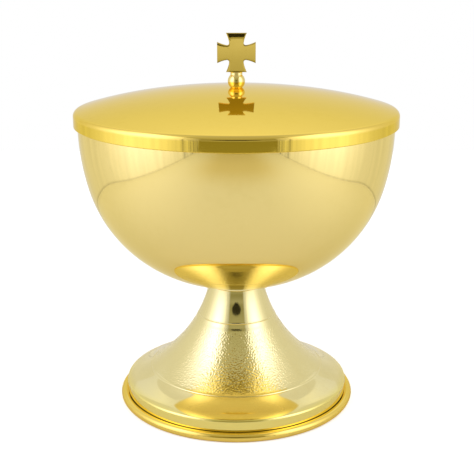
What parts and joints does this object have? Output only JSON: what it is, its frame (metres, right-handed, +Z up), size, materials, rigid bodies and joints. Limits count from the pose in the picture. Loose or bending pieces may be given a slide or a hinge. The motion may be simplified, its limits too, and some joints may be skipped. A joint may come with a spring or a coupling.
{
  "type": "covered communion cup",
  "caption": "Gold-plated covered cup for altar breads: round bowl on a flared foot with a textured band, and a shallow domed lift-off lid with a cross finial.",
  "frame": {"origin": "on the table, under the middle of the foot", "axes": "+Z up along the axis that the bowl, foot and lid are turned about; the cross lies in the XZ plane and its face looks along -Y, towards the front"},
  "size_m": [0.168, 0.168, 0.1973],
  "materials": {
    "polished_gold": "spun brass, polished and gold plated; a fine pebbled band on the foot",
    "plain_brass": "turned brass, unplated",
    "plated_steel": "zinc-plated steel"
  },
  "bodies": {
    "cup": {"base_ring": "polished_gold", "foot_shell": "polished_gold", "stem_collar": "polished_gold", "bowl": "polished_gold", "bowl_stud": "plain_brass", "neck_plug": "plain_brass", "clamp_washer": "plated_steel", "spring_washer": "plated_steel", "clamp_nut": "plated_steel"},
    "lid": {"lid_shell": "polished_gold", "finial_ball": "polished_gold", "cross_finial": "polished_gold", "lid_washer": "plain_brass", "finial_screw": "plain_brass"}
  },
  "joints": [
    {"name": "lid_lift", "type": "slide", "parent": "cup", "child": "lid", "axis": [0, 0, 1], "range_m": [0, 0.1]}
  ]
}
